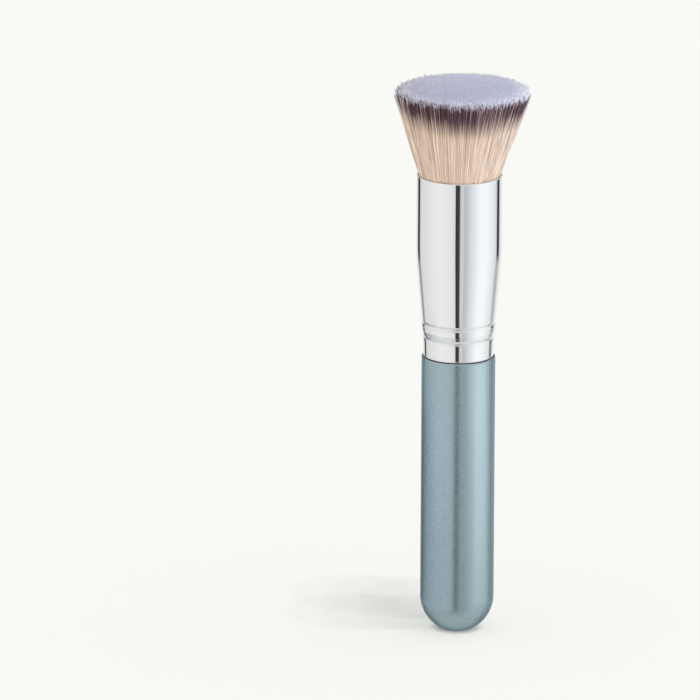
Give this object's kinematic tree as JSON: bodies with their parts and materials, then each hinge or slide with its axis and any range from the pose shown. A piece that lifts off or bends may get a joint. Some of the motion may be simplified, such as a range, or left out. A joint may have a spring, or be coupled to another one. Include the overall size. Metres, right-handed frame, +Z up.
{
  "type": "kabuki makeup brush",
  "caption": "Flat-top kabuki brush with a dense flared bristle tuft, a tapered crimped chrome ferrule and a round-ended lacquered handle.",
  "frame": {"origin": "centre of the small flat foot at the handle's round end, on the surface that the brush stands on", "axes": "+Z up along the brush's axis, from the handle's foot to the bristle tips; +X to the right and +Y away from a viewer in front"},
  "size_m": [0.0374, 0.0374, 0.1557],
  "materials": {
    "lacquered_wood": "gloss",
    "chrome_plate": "polished",
    "bristle": "matte",
    "thread": "matte",
    "resin": "gloss",
    "glue": "satin"
  },
  "bodies": {
    "root": {"handle": "lacquered_wood", "ferrule": "chrome_plate", "bristle_tuft": "bristle", "root_binding": "thread", "root_resin": "resin", "tenon_glue": "glue"}
  },
  "joints": []
}
